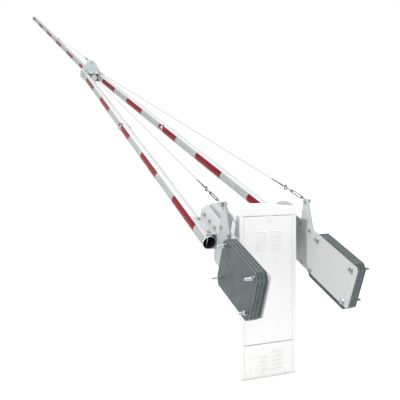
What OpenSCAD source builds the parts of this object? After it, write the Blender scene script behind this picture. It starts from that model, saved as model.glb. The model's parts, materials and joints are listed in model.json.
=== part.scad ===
// Long-arm parking barrier gate.
// Frame: X to the right, Y towards the boom tip, Z up.
// The origin is the centre of the cabinet's base, on the ground.
// The boom is drawn part-raised, at rest_angle above the horizontal.

/* [Cabinet] */
// Cabinet width across the shaft
cab_w = 428; // [400:1:520]
// Cabinet depth along the boom
cab_d = 472; // [440:1:560]
// Cabinet height with its lid
cab_h = 1130; // [1100:5:1300]
// Sheet thickness of the casing
sheet = 2; // [1.5:0.5:3]
// Height of the lid
lid_h = 55; // [40:1:70]
// Height of the joint between lower panel and door
lower_h = 230; // [180:1:300]
// Width of each side return beside the door
return_w = 30; // [20:1:40]

/* [Boom] */
// Height of the shaft axis above the ground
pivot_z = 930; // [880:5:980]
// Angle of the boom above horizontal as drawn
rest_angle = 21.2; // [0:0.1:60]
// Outer diameter of each side tube
tube_d = 92; // [80:1:110]
// Outer diameter of the tip tube
tip_d = 80; // [60:1:90]
// Wall of the side tubes
tube_wall = 2; // [1.6:0.1:4]
// Wall of the tip tube
tip_wall = 1.7; // [1.5:0.1:3]
// Half distance between the side tubes at the shaft
arm_half = 352; // [345:1:365]
// Where the side tubes end, along the boom
side_end = 4960; // [3500:10:5000]
// Half distance between the side tubes at their far end
end_half = 87.5; // [86.5:0.5:100]
// Where the tip tube starts
tip_start = 4770; // [3300:10:4800]
// Where the tip tube ends
tip_end = 10330; // [8000:10:10500]
// Angle of the weight arms to the tubes
arm_tilt = 1.1; // [0:0.1:3]

/* [Counterweight] */
// Length of each weight plate
cw_len = 462; // [350:1:500]
// Height of each weight plate
cw_h = 326; // [250:1:360]
// Thickness of each weight plate
cw_t = 21.5; // [10:0.5:23]
// Corner chamfer of each weight plate
cw_ch = 34; // [10:1:60]

/* [Tape] */
// Start of the first red band on the side tubes
band_start = 116; // [50:1:400]
// Distance from one red band to the next
band_pitch = 988; // [900:0.5:1000]
// Length of each red band
band_len = 511; // [300:1:600]
// Half angle that the tape covers on each side of a tube
tape_half = 50; // [30:1:60]

/* [Drive] */
// Tooth module of the drive
gear_m = 5; // [4:1:5]
// Teeth of the pinion
pinion_n = 16; // [14:1:18]
// Teeth of a full turn of the drive sector
sector_n = 64; // [60:1:66]
// Diameter of the main shaft
shaft_d = 60; // [50:1:60]

/* [Hidden] */
$fn = 48;

hw = cab_w / 2;
hd = cab_d / 2;
skirt_z = cab_h - lid_h;          // lower edge of the lid
door_w2 = hw - return_w - 1.5;    // half width of door and lower panel
conv = (arm_half - end_half) / side_end;   // convergence of each side tube
conv_a = atan(conv);
function tube_x(a) = arm_half - conv * a;

white = [0.95, 0.95, 0.95];
grey = [0.45, 0.49, 0.49];
dark = [0.15, 0.16, 0.17];
zinc = [0.62, 0.65, 0.67];
red = [0.6, 0.1, 0.1];

// ---------- frames ----------
module boom_frame() translate([0, 0, pivot_z]) rotate([rest_angle, 0, 0]) children();
module arm_frame() boom_frame() rotate([arm_tilt, 0, 0]) children();
module both() { children(); mirror([1, 0, 0]) children(); }
// cylinder along X from x0 to x1
module xcyl(x0, x1, d) translate([x0, 0, 0]) rotate([0, 90, 0]) cylinder(h = x1 - x0, d = d);
// plate in the YZ plane from x0, thickness t
module xplate(x0, t) translate([x0, 0, 0]) rotate([90, 0, 90]) linear_extrude(t) children();
// hexagon head or nut, height h, across flats s
module hex(s, h) cylinder(h = h, d = s / cos(30), $fn = 6);
module box(x0, x1, y0, y1, z0, z1) translate([x0, y0, z0]) cube([x1 - x0, y1 - y0, z1 - z0]);

// ---------- cabinet ----------
anchor_x = 150;
anchor_y = 172;
module base_plate() color(dark) difference() {
  box(-hw + 8, hw - 8, -hd + 8, hd - 8, 0, 12);
  for (x = [-1, 1], y = [-1, 1]) translate([x * anchor_x, y * anchor_y, -1]) cylinder(h = 20, d = 18);
  box(-80, 80, -80, 80, -1, 20);
}

post = 36;
module angle_post() difference() {
  cube([post, post, skirt_z + 22 - 12]);
  translate([4, 4, -1]) cube([post, post, skirt_z + 40]);
}
px0 = hw - sheet - 1;
py0 = hd - sheet - 22;
module inner_frame() color(zinc) {
  for (mx = [0, 1], my = [0, 1]) mirror([mx, 0, 0]) mirror([0, my, 0])
    translate([-px0, -py0, 12]) angle_post();
  // top rails along Y and X
  for (s = [-1, 1]) {
    box(s > 0 ? px0 - 4 : -px0, s > 0 ? px0 : -px0 + 4, -py0 + post, py0 - post, skirt_z - 8, skirt_z + 22);
    box(-px0 + post, px0 - post, s > 0 ? py0 - 4 : -py0, s > 0 ? py0 : -py0 + 4, skirt_z - 2, skirt_z + 22);
  }
  // keeper behind which the lock's cam turns
  box(-25, 40, -232, -218.5, 1070, 1097);
  box(-25, 40, -232, -208, 1086, 1097);
  // bearing beams
  for (s = [-1, 1]) translate([s * 170, 0, 0]) difference() {
    box(-24, 24, -py0 + 4, py0 - 4, pivot_z - 95, pivot_z - 62);
    box(-20, 20, -py0 - 1, py0 + 1, pivot_z - 100, pivot_z - 66);
    for (y = [-75, 75]) translate([0, y, pivot_z - 100]) cylinder(h = 60, d = 13);
  }
  // cross bars that carry the drive
  for (s = [-1, 1], z = [610, 790]) box(-px0 + 4, px0 - 4, s > 0 ? py0 - 24 : -py0 + 4, s > 0 ? py0 - 4 : -py0 + 24, z - 12, z + 12);
}

module side_panel() difference() {
  union() {
    box(hw - sheet, hw, -hd + sheet, hd - sheet, 14, skirt_z - 1);
    box(hw - return_w, hw, -hd, -hd + sheet, 14, skirt_z - 1);
    box(hw - return_w, hw - return_w + sheet, -hd + sheet, -hd + 20, 14, skirt_z - 1);
  }
  translate([0, 0, pivot_z]) xcyl(hw - 10, hw + 10, 84);
}
module left_side_panel() color(white) mirror([1, 0, 0]) side_panel();
module right_side_panel() color(white) side_panel();

module front_panel() color(white) {
  box(-hw, hw, hd - sheet, hd, 14, skirt_z - 1);
  for (s = [-1, 1]) box(s > 0 ? hw - sheet - 20 : -hw + sheet, s > 0 ? hw - sheet : -hw + sheet + 20, hd - 2 * sheet - 0.2, hd - sheet, 14, skirt_z - 1);
}

// pressed louvre: hood over a slot, seen from the rear
louvre_w = 78;
module hoods(x_list, z_list) for (x = x_list, z = z_list)
  translate([x - louvre_w / 2, -hd, z]) rotate([90, 0, 90])
    linear_extrude(louvre_w) polygon([[0.4, 8.5], [-2.4, 7.4], [-4.6, 4.6], [-5.5, 0], [-4.3, 0], [-3.5, 3.6], [-1.7, 5.9], [0.4, 6.4]]);
module slots(x_list, z_list) for (x = x_list, z = z_list)
  box(x - louvre_w / 2 + 1, x + louvre_w / 2 - 1, -hd - 1, -hd + 5, z - 1, z + 5.4);
up_z = [for (i = [0:4]) 850 + i * 29.5];
lo_z = [for (i = [0:4]) 48 + i * 28.5];
lv_x = [-53, 63];
module leaf(z0, z1) {
  box(-door_w2, door_w2, -hd, -hd + sheet, z0, z1);
  for (s = [-1, 1]) box(s > 0 ? door_w2 - sheet : -door_w2, s > 0 ? door_w2 : -door_w2 + sheet, -hd + sheet, -hd + 17, z0, z1);
}
module lower_rear_panel() color(white) {
  difference() { leaf(14, lower_h - 2); slots(lv_x, lo_z); }
  hoods(lv_x, lo_z);
}
door_z0 = lower_h + 2;
door_z1 = skirt_z - 8;
lock_x = 7;
lock_z = 1045;
module upper_door() color(white) {
  difference() {
    union() {
      leaf(door_z0, door_z1);
      box(-door_w2, door_w2, -hd, -hd + sheet, door_z1 - 1, skirt_z - 3);
      box(-door_w2 + sheet, door_w2 - sheet, -hd + sheet, -hd + 17, door_z1 - sheet, door_z1);
      box(-door_w2 + sheet, door_w2 - sheet, -hd + sheet, -hd + 17, door_z0, door_z0 + sheet);
      // stiffening rib
      box(-door_w2 + sheet, door_w2 - sheet, -hd + sheet, -hd + 12, 640, 643);
    }
    slots(lv_x, up_z);
    translate([lock_x, -hd - 1, lock_z]) rotate([-90, 0, 0]) cylinder(h = 10, d = 19);
  }
  hoods(lv_x, up_z);
}
module label_plate() color([0.9, 0.91, 0.91]) difference() {
  box(-67, 77, -hd - 1.2, -hd, 751, 792);
  for (x = [-60, 70], z = [758, 785]) translate([x, -hd - 3, z]) rotate([-90, 0, 0]) cylinder(h = 6, d = 3.2);
}
module lock_body() color(zinc) translate([lock_x, -hd, lock_z]) rotate([-90, 0, 0]) difference() {
  union() {
    translate([0, 0, -4]) cylinder(h = 4, d = 25);
    cylinder(h = 19, d = 18.6);
    translate([0, 0, sheet]) cylinder(h = 5, d = 27);
  }
  translate([0, 0, -5]) cylinder(h = 30, d = 13.1);
}
module lock_barrel() color(grey) translate([lock_x, -hd, lock_z]) rotate([-90, 0, 0]) {
  difference() {
    translate([0, 0, -3.4]) cylinder(h = 26, d = 13);
    translate([-0.8, -4, -4]) cube([1.6, 8, 5]);
  }
  // cam, drawn turned open
  translate([-34, -7, 19.6]) cube([34, 14, 3]);
}

module lid() color(white) difference() {
  box(-hw - 2, hw + 2, -hd - 2, hd + 2, skirt_z, cab_h);
  box(-hw, hw, -hd, hd, skirt_z - 1, cab_h - sheet);
}
side_screw_yz = [[115, 410], [117, 292], [115, 92], [-177, 353], [-179, 208], [-43, 356], [-41, 231], [58, 229], [-166, 289]];
module panel_screws() color(zinc) {
  for (s = [-1, 1], p = side_screw_yz) translate([0, p[0], p[1]]) {
    if (s > 0) xcyl(hw, hw + 2.4, 10); else xcyl(-hw - 2.4, -hw, 10);
  }
}
module shaft_seals() color(dark) for (s = [-1, 1]) translate([0, 0, pivot_z]) difference() {
  union() {
    if (s > 0) { xcyl(hw, hw + 4, 104); xcyl(hw - 6, hw, 83.6); }
    else { xcyl(-hw - 4, -hw, 104); xcyl(-hw, -hw + 6, 83.6); }
  }
  xcyl(-hw - 10, hw + 10, shaft_d + 1.2);
}

// ---------- drive ----------
module pillow_block() difference() {
  union() {
    box(-22, 22, -100, 100, -62, -42);
    box(-20, 20, -52, 52, -42, 0);
    xcyl(-24, 24, 112);
    for (y = [-75, 75]) translate([0, y, -42]) cylinder(h = 4, d = 24);
    for (y = [-75, 75]) translate([0, y, -38]) hex(19, 8);
  }
  xcyl(-30, 30, shaft_d + 0.1);
}
module bearing_left() color([0.2, 0.32, 0.42]) translate([-170, 0, pivot_z]) pillow_block();
module bearing_right() color([0.2, 0.32, 0.42]) translate([170, 0, pivot_z]) pillow_block();

// involute flank: half angle of a tooth at radius rho
function inv(a) = tan(a) * 180 / PI - a;
function flank(rho, r, n) = 90 / n - 0.16 * 180 / PI / r + inv(20) - inv(acos(min(1, r * cos(20) / rho)));
function tooth(n, c) = let (r = gear_m * n / 2, rb = r * cos(20), ra = r + gear_m, rf = r - 1.25 * gear_m,
    r0 = max(rb, rf + 0.4), k = 5)
  concat([[rf * cos(c - 180 / n), rf * sin(c - 180 / n)], [rf * cos(c - flank(r0, r, n)), rf * sin(c - flank(r0, r, n))]],
    [for (i = [0:k]) let (q = r0 + (ra - r0) * i / k, f = flank(q, r, n)) [q * cos(c - f), q * sin(c - f)]],
    [for (i = [k:-1:0]) let (q = r0 + (ra - r0) * i / k, f = flank(q, r, n)) [q * cos(c + f), q * sin(c + f)]],
    [[rf * cos(c + flank(r0, r, n)), rf * sin(c + flank(r0, r, n))]]);
gear_c = gear_m * (pinion_n + sector_n) / 2;   // centre distance
sec_x = 60;
module drive_sector() color(grey) boom_frame() difference() {
  union() {
    // the tooth that points straight down at rest is in mesh
    xplate(sec_x, 26) rotate(-90 - rest_angle) difference() {
      polygon(concat([[0, 0]], [for (i = [-14:6]) each tooth(sector_n, i * 360 / sector_n)]));
      // lightening window stays inside the rim
      for (w = [-52, -26, 0]) rotate(w) translate([100, 0]) circle(d = 34);
    }
    xcyl(sec_x - 12, sec_x + 38, 112);
  }
  xcyl(0, 200, shaft_d);
}
module pinion() color(zinc) translate([0, 0, pivot_z - gear_c]) {
  xplate(sec_x - 2, 30) rotate(90 + 180 / pinion_n)
    polygon([for (i = [0:pinion_n - 1]) each tooth(pinion_n, i * 360 / pinion_n)]);
  xcyl(22, sec_x - 2, 30);
  xcyl(sec_x + 28, sec_x + 36, 30);
}
mot_x = -45;
module gearbox() color([0.25, 0.36, 0.5]) translate([0, 0, pivot_z - gear_c]) difference() {
  union() {
    box(mot_x - 62, mot_x + 62, -72, 72, -82, 44);
    xcyl(mot_x + 62, mot_x + 68, 84);
    xcyl(mot_x - 70, mot_x - 62, 84);
    translate([mot_x, 0, -92]) cylinder(h = 10, d = 130);
  }
  xcyl(0, 60, 30.1);
}
module motor() color([0.25, 0.36, 0.5]) translate([mot_x, 0, 0]) {
  translate([0, 0, 402]) cylinder(h = 234, d = 124);
  for (k = [0:15]) rotate(k * 22.5) box(58, 66, -1.6, 1.6, 420, 620);
  box(-40, 40, -95, -55, 500, 590);
}
module motor_cowl() color(dark) translate([mot_x, 0, 340]) difference() {
  cylinder(h = 62, d = 144);
  translate([0, 0, 2]) cylinder(h = 61, d = 140);
  for (k = [0:5]) rotate(k * 60) translate([40, 0, -1]) cylinder(h = 5, d = 18);
  translate([0, 0, -1]) cylinder(h = 5, d = 18);
}
module gearmotor_plate() color(zinc) difference() {
  box(mot_x + 68, mot_x + 78, -py0 + 24, py0 - 24, 598, 802);
  translate([0, 0, pivot_z - gear_c]) xcyl(0, 60, 44);
  for (y = [-150, 150]) translate([0, y, 700]) xcyl(0, 60, 60);
}

// stop lever swings between two rubber buffers
trav_lo = -rest_angle;
trav_hi = 89 - rest_angle;
lev0 = 180 - (trav_lo + trav_hi) / 2;   // lever direction at rest, in the YZ plane
module stop_lever() color(grey) translate([0, 0, pivot_z]) difference() {
  union() {
    xcyl(-64, -26, 104);
    rotate([lev0, 0, 0]) box(-60, -30, 0, 150, -15, 15);
  }
  xcyl(-90, 0, shaft_d);
}
module at_stop(hi) translate([0, 0, pivot_z]) rotate([hi ? lev0 + trav_hi : lev0 + trav_lo, 0, 0]) mirror([0, 0, hi ? 0 : 1]) children();
module stop_buffers() color(dark) for (h = [false, true]) at_stop(h)
  translate([-45, 120, 16]) cylinder(h = 25, d = 42);
module buffer_bracket() color(zinc) {
  for (h = [false, true]) at_stop(h) box(-76, -22, 92, 148, 41, 49);
  // side plate outside the lever's path, on the rear cross bars
  difference() {
    translate([0, 0, pivot_z]) xplate(-84, 8)
      polygon([[-188, -152], [-120, -152], [-40, -150], [-40, -112], [-80, -70], [-86, 0], [-80, 70], [-40, 112], [-40, 146], [-120, 146], [-188, 120]]);
  }
}
module sensor_flag() color(zinc) boom_frame() difference() {
  union() {
    xplate(-118, 4) intersection() { circle(d = 190); polygon([[0, 0], [200, -120], [200, 200], [-60, 200]]); }
    xcyl(-126, -106, 90);
  }
  xcyl(-140, -90, shaft_d);
}
module sensor_bracket() color(zinc) difference() {
  union() {
    box(-140, -136, 60, 190, pivot_z - 62, pivot_z + 60);
    box(-186, -136, 150, 190, pivot_z - 62, pivot_z - 58);
  }
  for (p = [[100, 30], [100, -30]]) translate([0, p[0], pivot_z + p[1]]) xcyl(-150, -130, 18.2);
}
module position_sensors() color(dark) for (p = [[100, 30], [100, -30]]) translate([0, p[0], pivot_z + p[1]]) {
  xcyl(-180, -124, 18);
}
module control_box() color([0.75, 0.76, 0.77]) difference() {
  box(-150, 150, 118, 206, 230, 540);
  box(-146, 146, 110, 202, 234, 536);
  for (x = [-90, 0, 90]) translate([x, 160, 220]) cylinder(h = 30, d = 20.2);
}
module control_box_cover() color([0.85, 0.86, 0.86]) box(-152, 152, 112, 118, 228, 542);
module cable_glands() color(dark) for (x = [-90, 0, 90]) translate([x, 160, 0]) difference() {
  union() { translate([0, 0, 208]) hex(24, 22); translate([0, 0, 230]) cylinder(h = 12, d = 20); translate([0, 0, 198]) cylinder(h = 10, d = 20); }
  translate([0, 0, 190]) cylinder(h = 60, d = 11);
}

// ---------- boom root ----------
module main_shaft() color(zinc) translate([0, 0, pivot_z]) xcyl(-282, 282, shaft_d);

arm_x = 296;      // inner face of the rear arm plate
arm_t = 8;
bend_a = -85;     // where the arm plate bends towards the tube's line
// frame of the front part: parallel to the side tube
module front_arm_frame() arm_frame() translate([arm_x, bend_a, 0]) rotate([0, 0, conv_a]) children();

module hub() arm_frame() difference() {
  union() {
    xcyl(222, 262, 130);
    // plate with a round top
    xplate(262, 10) intersection() {
      circle(r = 228);
      polygon([[-60, -95], [150, -95], [204, 50], [204, 140], [120, 240], [-60, 240]]);
    }
    // tapered block up to the bent arm plate
    difference() {
      union() { xcyl(272, 296, 150); box(272, 296, -48, 198, 60, 96); }
      translate([arm_x, bend_a, -200]) rotate([0, 0, conv_a]) cube([60, 500, 400]);
    }
  }
  xcyl(200, 283, shaft_d);
  for (a = bolt_a) translate([arm_x, bend_a, 0]) rotate([0, 0, conv_a]) translate([0, a - bend_a, 78]) xcyl(-60, 10, 14.2);
}
// where a bolt's line meets the inner face of the hub plate
function hub_in(a) = (262 - arm_x + (a - bend_a) * sin(conv_a)) / cos(conv_a);
module hub_right() color(white) hub();
module hub_left() color(white) mirror([1, 0, 0]) hub();

module arm_plate() difference() {
  arm_frame() intersection() {
    // the plate seen from above, bent towards the tube's line
    translate([0, 0, -140]) linear_extrude(320) polygon([[arm_x, -800], [arm_x + arm_t, -800], [arm_x + arm_t, bend_a + arm_t * tan(conv_a / 2)],
      [arm_x + arm_t / cos(conv_a) - (300 - bend_a) * tan(conv_a), 300], [arm_x - (300 - bend_a) * tan(conv_a), 300], [arm_x, bend_a]]);
    // the plate seen from the side: the rear part carries the weights, the front part the tube
    xplate(arm_x - 60, 120) polygon([[-770, -128], [-782, -116], [-782, 142], [-768, 157], [-85, 160], [170, 160], [251, 88], [260, 74], [262, 58], [255, 30], [240, -52], [-78, -52], [-92, -128]]);
  }
  // row of bolts to the hub plate
  for (a = bolt_a) front_arm_frame() translate([0, a - bend_a, 78]) xcyl(-20, 30, 14.2);
  // long studs
  for (a = stud_a, u = stud_u) arm_frame() translate([0, a, u]) xcyl(arm_x - 20, arm_x + 30, 18.2);
  // mast bolts
  for (p = mast_bolts) arm_frame() translate([0, p[0], p[1]]) xcyl(arm_x - 20, arm_x + 30, 14.2);
}
bolt_a = [180, 75, -20];
stud_a = [-344, -729];
stud_u = [-108, 120];
mast_bolts = [[-132, 137], [-242, 137], [-234, -112]];
module arm_plate_right() color(white) arm_plate();
module arm_plate_left() color(white) mirror([1, 0, 0]) arm_plate();

module arm_bolts() color(zinc) both() {
  for (a = bolt_a) front_arm_frame() translate([0, a - bend_a, 78]) rotate([0, 90, 0]) {
    translate([0, 0, arm_t]) cylinder(h = 2.5, d = 26);
    translate([0, 0, arm_t + 2.5]) hex(20, 9);
    translate([0, 0, hub_in(a) - 15]) cylinder(h = arm_t + 15 - hub_in(a), d = 14);
    translate([0, 0, hub_in(a) - 11.5]) hex(20, 10.5);
  }
  for (p = mast_bolts) arm_frame() translate([arm_x, p[0], p[1]]) rotate([0, 90, 0]) {
    translate([0, 0, -9]) hex(20, 9);
    translate([0, 0, 0]) cylinder(h = arm_t + 12, d = 14);
    translate([0, 0, arm_t + 12]) cylinder(h = 2.5, d = 26);
    translate([0, 0, arm_t + 14.5]) hex(20, 10);
  }
}

mast_x = arm_x + arm_t;
mast_t = 12;
eye_a = -109;
eye_u = 292;
module mast() arm_frame() difference() {
  xplate(mast_x, mast_t) polygon([[-118, -122], [-128, -110], [-113, 110], [-88, 268], [-92, 292], [-108, 312], [-128, 312], [-146, 290], [-258, 150], [-262, -108], [-250, -122]]);
  translate([0, eye_a, eye_u]) xcyl(mast_x - 10, mast_x + 30, 14.2);
  for (p = mast_bolts) translate([0, p[0], p[1]]) xcyl(mast_x - 10, mast_x + 30, 14.2);
}
module mast_right() color(white) mast();
module mast_left() color(white) mirror([1, 0, 0]) mast();

// frame of a side tube: origin on the tube's axis abreast of the shaft, Y along the tube
module tube_frame() boom_frame() translate([arm_half, 0, 0]) rotate([0, 0, conv_a]) children();
ch_in = (arm_x - arm_half) * cos(conv_a) + bend_a * sin(conv_a) + arm_t + 0.1;   // outer face of the arm plate
ch_y0 = -72;
ch_y1 = 205;
tr = tube_d / 2;
module tube_channel() tube_frame() difference() {
  union() {
    box(ch_in, -tr - 0.3, ch_y0, ch_y1, -tr - 8, tr + 10);
    box(ch_in, 28, ch_y0, ch_y1, tr + 0.2, tr + 10);
    box(ch_in, 18, ch_y0, ch_y1, -tr - 8, -tr - 0.2);
  }
  for (y = tb_y) translate([0, y, -100]) cylinder(h = 200, d = 14.2);
}
tb_y = [-45, 160];
module tube_channel_right() color(white) tube_channel();
module tube_channel_left() color(white) mirror([1, 0, 0]) tube_channel();
module channel_bolts() color(zinc) both() tube_frame() for (y = tb_y) translate([0, y, 0]) {
  translate([0, 0, tr + 10]) cylinder(h = 2.5, d = 28);
  translate([0, 0, tr + 12.5]) hex(20, 9);
  translate([0, 0, -tr - 22]) cylinder(h = 2 * tr + 32, d = 14);
  translate([0, 0, -tr - 18]) hex(20, 10);
}

// ---------- counterweights ----------
cw_mid = -536.5;
module cw_outline() {
  x0 = cw_mid - cw_len / 2; x1 = cw_mid + cw_len / 2; z0 = -cw_h / 2; z1 = cw_h / 2; c = cw_ch;
  polygon([[x0 + c, z0], [x1 - c, z0], [x1, z0 + c], [x1, z1 - c], [x1 - c, z1], [x0 + c, z1], [x0, z1 - c], [x0, z0 + c]]);
}
cw_gap = 2.5;
cw_x0 = arm_x + arm_t;
module weights() arm_frame() {
  for (k = [0:2]) difference() {
    xplate(cw_x0 + cw_gap + k * (cw_t + cw_gap), cw_t) cw_outline();
    for (a = stud_a, u = stud_u) translate([0, a, u]) xcyl(cw_x0 - 20, cw_x0 + 120, 18.2);
  }
}
module weights_right() color(grey) weights();
module weights_left() color(grey) mirror([1, 0, 0]) weights();
cw_x1 = cw_x0 + 3 * (cw_t + cw_gap);
module weight_studs() color(zinc) both() arm_frame() for (a = stud_a, u = stud_u) translate([0, a, u]) {
  xcyl(arm_x - 3, cw_x1 + 56, 18);
  translate([arm_x - 16, 0, 0]) rotate([0, 90, 0]) hex(27, 13);
  xcyl(arm_x - 3, arm_x, 34);
  xcyl(cw_x1, cw_x1 + 3, 34);
  translate([cw_x1 + 3, 0, 0]) rotate([0, 90, 0]) hex(27, 14);
  for (k = [0:2]) translate([cw_x0 + k * (cw_t + cw_gap), 0, 0]) rotate([0, 90, 0]) difference() { cylinder(h = cw_gap, d = 34); translate([0, 0, -1]) cylinder(h = cw_gap + 2, d = 17); }
}

// ---------- tubes ----------
side_len = side_end / cos(conv_a);
tube_y0 = -88;
splice_y = 2470;
splice_tip = 7530;
module side_tube() tube_frame() difference() {
  rotate([-90, 0, 0]) translate([0, 0, tube_y0]) cylinder(h = side_len - tube_y0, d = tube_d);
  rotate([-90, 0, 0]) translate([0, 0, tube_y0 - 1]) cylinder(h = side_len - tube_y0 + 2, d = tube_d - 2 * tube_wall);
  for (y = concat(tb_y, [jb_y / cos(conv_a)])) translate([0, y, -100]) cylinder(h = 200, d = 14.2);
  translate([0, splice_y, 0]) xcyl(-100, 100, 16.2);
}
jb_y = 4898;
module side_tube_right() color(white) side_tube();
module side_tube_left() color(white) mirror([1, 0, 0]) side_tube();

trt = tip_d / 2;
module tip_tube() color(white) boom_frame() difference() {
  rotate([-90, 0, 0]) translate([0, 0, tip_start]) cylinder(h = tip_end - tip_start, d = tip_d);
  rotate([-90, 0, 0]) translate([0, 0, tip_start - 1]) cylinder(h = tip_end - tip_start + 2, d = tip_d - 2 * tip_wall);
  translate([0, splice_tip, 0]) xcyl(-100, 100, 16.2);
  translate([0, tj_y, -100]) cylinder(h = 200, d = 14.2);
}
tj_y = 4810;
module tip_cap() color(dark) boom_frame() rotate([-90, 0, 0]) {
  translate([0, 0, tip_end]) rotate_extrude() polygon([[0, 0], [trt, 0], [trt, 8], [trt - 2, 14], [trt - 7, 18], [0, 19]]);
  translate([0, 0, tip_end - 30]) cylinder(h = 30, r = trt - tip_wall - 0.2);
}

// dished washer, bolt head and nut on both sides of a tube
module cup(r) {
  rotate_extrude() polygon([[0, -12], [r, -12], [r, 0], [r - 4, 4], [r - 12, 8], [0, 9]]);
  translate([0, 0, 9]) hex(22, 10);
}
module splice_bolts() color(zinc) {
  both() tube_frame() translate([0, splice_y, 0]) {
    difference() {
      for (s = [0, 1]) mirror([s, 0, 0]) translate([tr + 0.5, 0, 0]) rotate([0, 90, 0]) cup(27);
      rotate([-90, 0, 0]) translate([0, 0, -60]) cylinder(h = 120, d = tube_d + 0.1);
    }
    xcyl(-tr - 1, tr + 1, 16);
  }
  boom_frame() translate([0, splice_tip, 0]) {
    difference() {
      for (s = [0, 1]) mirror([s, 0, 0]) translate([trt + 0.5, 0, 0]) rotate([0, 90, 0]) cup(24);
      rotate([-90, 0, 0]) translate([0, 0, -60]) cylinder(h = 120, d = tip_d + 0.1);
    }
    xcyl(-trt - 1, trt + 1, 16);
  }
}

// tape strip on one side of a tube; d is the tube's diameter, s the side
module strip(d, s, y0, y1) intersection() {
  rotate([-90, 0, 0]) translate([0, 0, y0]) difference() {
    cylinder(h = y1 - y0, d = d + 1.5);
    translate([0, 0, -1]) cylinder(h = y1 - y0 + 2, d = d + 0.12);
  }
  rotate([-90, 0, 0]) translate([0, 0, y0 - 1]) linear_extrude(y1 - y0 + 2)
    polygon([[0, 0], [s * d, d * tan(tape_half)], [s * d, -d * tan(tape_half)]]);
}
cut_r = 33;
function red_end(k) = k == 2 ? splice_y + 75 : band_start + band_len + k * band_pitch;
red_side = [for (k = [0:4]) [band_start + k * band_pitch, red_end(k)]];
white_side = concat([[-80, band_start]], [for (k = [0:3]) [red_end(k), band_start + (k + 1) * band_pitch]], [[red_end(4), side_end - 20]]);
tip_band0 = 5085;
tip_pitch = 976;
tip_len = 495;
function tip_red_end(k) = k == 2 ? splice_tip + 50 : tip_band0 + tip_len + k * tip_pitch;
red_tip = concat([for (k = [0:4]) [tip_band0 + k * tip_pitch, tip_red_end(k)]], [[tip_band0 + 5 * tip_pitch, tip_end - 10]]);
white_tip = [for (k = [0:4]) [tip_red_end(k), tip_band0 + (k + 1) * tip_pitch]];
// round of red tape about the splice, reaching further over the tube than the bands
module splice_round() both() tube_frame() translate([0, splice_y, 0]) for (s = [0, 1]) mirror([s, 0, 0]) intersection() {
  rotate([-90, 0, 0]) difference() {
    translate([0, 0, -60]) cylinder(h = 120, d = tube_d + 1.3);
    translate([0, 0, -61]) cylinder(h = 122, d = tube_d + 0.3);
  }
  difference() {
    xcyl(2, 60, 86);
    xcyl(1, 61, 2 * cut_r);
  }
}
module side_strips(list) both() tube_frame() difference() {
  for (b = list) {
    strip(tube_d, 1, b[0] + 0.3, b[1] - 0.3);
    if (b[1] > ch_y1 + 2) strip(tube_d, -1, max(b[0], ch_y1 + 2) + 0.3, b[1] - 0.3);
  }
  translate([0, splice_y, 0]) xcyl(-100, 100, 2 * cut_r);
}
module tip_strips(list) boom_frame() difference() {
  for (b = list, s = [-1, 1]) strip(tip_d, s, b[0] + 0.3, b[1] - 0.3);
  translate([0, splice_tip, 0]) xcyl(-100, 100, 56);
}
module red_tape() color(red) { side_strips(red_side); tip_strips(red_tip); splice_round(); }
module white_tape() color([0.86, 0.87, 0.87]) { side_strips(white_side); tip_strips(white_tip); }

// ---------- joint of the three tubes ----------
face_y = 5006;
face_t = 10;
module joint_face_plate() color(white) boom_frame() difference() {
  translate([0, face_y + face_t, 0]) rotate([90, 0, 0]) linear_extrude(face_t)
    polygon([[-137, -40], [-120, -58], [120, -58], [137, -40], [137, 40], [122, 70], [52, 172], [34, 190], [-34, 190], [-52, 172], [-122, 70], [-137, 40]]);
  translate([0, face_y - 5, 0]) rotate([-90, 0, 0]) cylinder(h = 30, d = tip_d + 0.6);
  translate([0, face_y - 5, king_u]) rotate([-90, 0, 0]) cylinder(h = 30, d = 16.2);
}
king_u = 160;
jp_y0 = 4790;
module joint_clamp_plates() color(white) boom_frame() for (s = [0, 1]) mirror([0, 0, s]) difference() {
  translate([0, 0, tr + 0.2]) linear_extrude(8) polygon([[-tube_x(jp_y0) - 30, jp_y0], [tube_x(jp_y0) + 30, jp_y0], [tube_x(face_y) + 44, face_y], [-tube_x(face_y) - 44, face_y]]);
  for (x = [-1, 1]) translate([x * tube_x(jb_y), jb_y, 0]) cylinder(h = 80, d = 14.2);
  translate([0, tj_y, 0]) cylinder(h = 80, d = 14.2);
}
module joint_bolts() color(zinc) boom_frame() {
  for (x = [-tube_x(jb_y), tube_x(jb_y)]) translate([x, jb_y, 0]) vbolt();
  translate([0, tj_y, 0]) vbolt();
  translate([0, face_y, king_u]) rotate([90, 0, 0]) {
    translate([0, 0, -face_t - 24]) cylinder(h = face_t + 44, d = 16);
    translate([0, 0, -face_t - 38]) rotate([0, 90, 0]) difference() {
      translate([0, 0, -7]) cylinder(h = 14, d = 38);
      translate([0, 0, -8]) cylinder(h = 16, d = 14.6);
    }
    cylinder(h = 3, d = 32);
    translate([0, 0, 3]) hex(24, 12);
    translate([0, 0, -face_t - 12]) hex(24, 12);
  }
}
module vbolt() {
  translate([0, 0, tr + 8.2]) cylinder(h = 2.5, d = 28);
  translate([0, 0, tr + 10.7]) hex(22, 12);
  translate([0, 0, -tr - 20]) cylinder(h = 2 * tr + 30, d = 14);
  translate([0, 0, -tr - 18.2]) hex(22, 10);
}

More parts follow.
